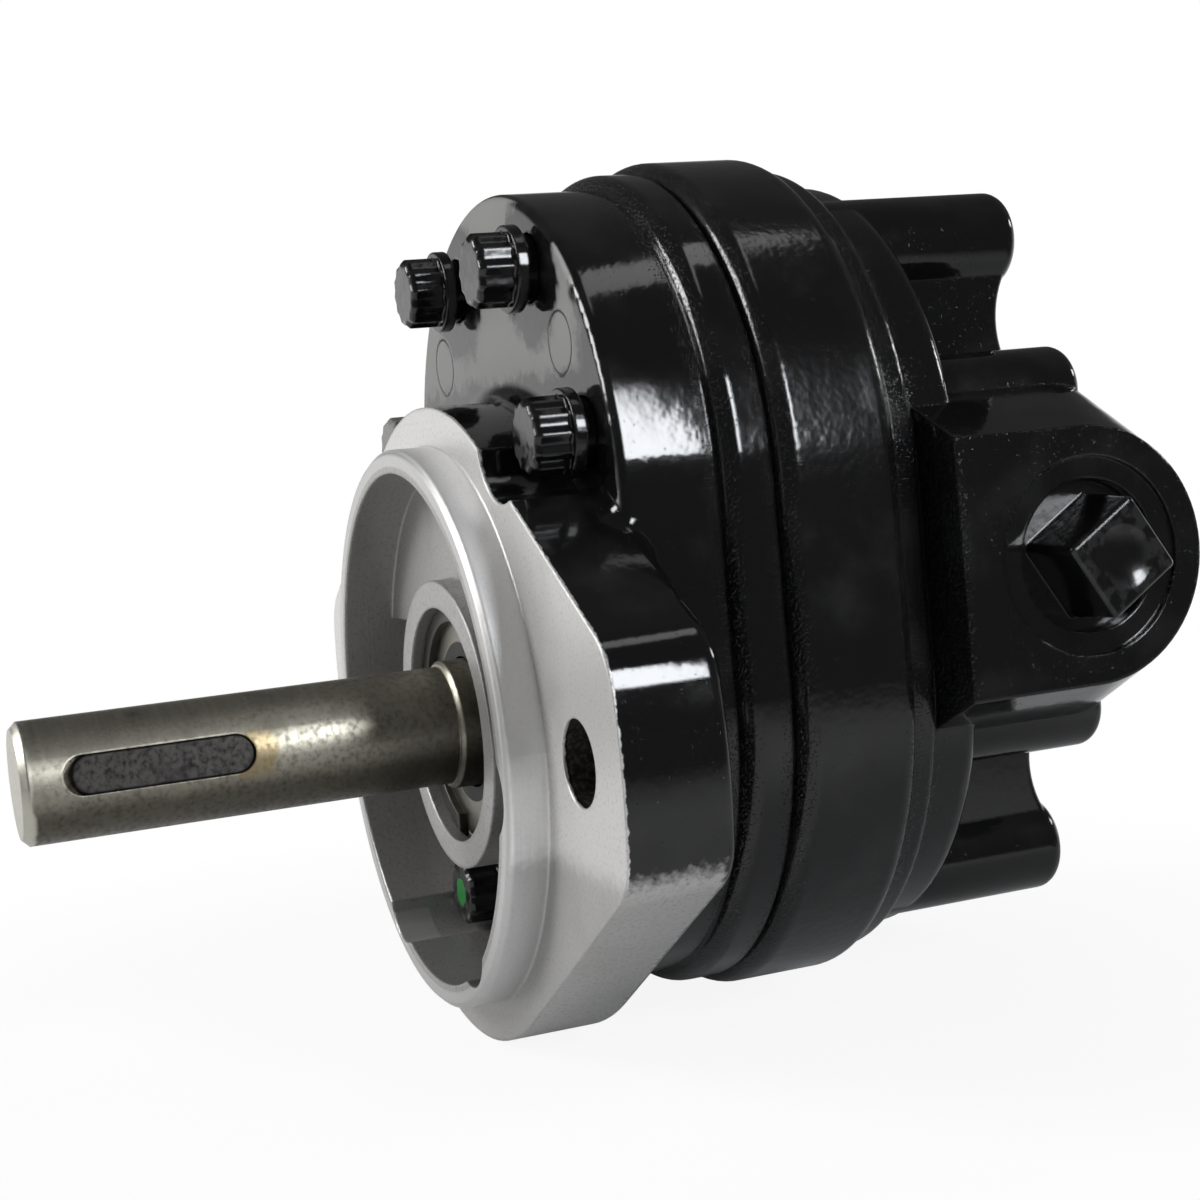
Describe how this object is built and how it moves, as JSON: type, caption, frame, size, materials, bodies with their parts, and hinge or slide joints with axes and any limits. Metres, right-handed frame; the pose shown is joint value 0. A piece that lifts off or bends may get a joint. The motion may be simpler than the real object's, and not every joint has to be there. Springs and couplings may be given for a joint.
{
  "type": "gear pump",
  "caption": "External gear pump with a flanged cast body, hollow mounting pilot, keyed drive shaft, meshing gears and side ports, the near port closed by a square-head plug.",
  "frame": {"origin": "on the drive shaft axis, at the mounting flange face", "axes": "-Y along the drive shaft, out of its free end; +Z from the drive gear to the idler gear; +X towards the plugged port"},
  "size_m": [0.1352, 0.1585, 0.1277],
  "materials": {
    "casting_paint": "gloss black enamel on cast iron, bare where it is machined",
    "shaft_steel": "ground steel",
    "gear_steel": "ground, hardened",
    "key_steel": "dark, as rolled",
    "bushing_bronze": "oiled bronze",
    "seal_rubber": "moulded",
    "seal_steel": "oily pressed steel",
    "ring_steel": "phosphated spring steel",
    "screw_paint": "gloss black enamel, scuffed bare on the head faces",
    "dowel_steel": "ground flush with the face",
    "plug_paint": "gloss black enamel"
  },
  "bodies": {
    "housing": {"front_cover": "casting_paint", "gear_plate": "casting_paint", "back_plate": "casting_paint", "drive_front_bushing": "bushing_bronze", "drive_rear_bushing": "bushing_bronze", "idler_front_bushing": "bushing_bronze", "idler_rear_bushing": "bushing_bronze", "pressure_plate": "bushing_bronze", "front_body_seal": "seal_rubber", "rear_body_seal": "seal_rubber", "shaft_seal_case": "seal_steel", "shaft_seal_lip": "seal_rubber", "seal_garter_spring": "seal_steel", "seal_retaining_ring": "ring_steel", "cap_screws": "screw_paint", "dowel_pins": "dowel_steel", "port_plug": "plug_paint"},
    "drive_train": {"drive_shaft": "shaft_steel", "drive_gear": "gear_steel", "gear_key": "key_steel", "shaft_key": "key_steel"},
    "idler": {"idler_shaft": "shaft_steel", "idler_gear": "gear_steel"}
  },
  "joints": [
    {"name": "drive_spin", "type": "hinge", "parent": "housing", "child": "drive_train", "pos_m": [0, 0, 0], "axis": [0, -1, 0], "continuous": true},
    {"name": "idler_spin", "type": "hinge", "parent": "housing", "child": "idler", "pos_m": [0, 0.044, 0.036], "axis": [0, -1, 0], "continuous": true}
  ],
  "couplings": [
    {"joint": "idler_spin", "follows": "drive_spin", "ratio": -1}
  ]
}
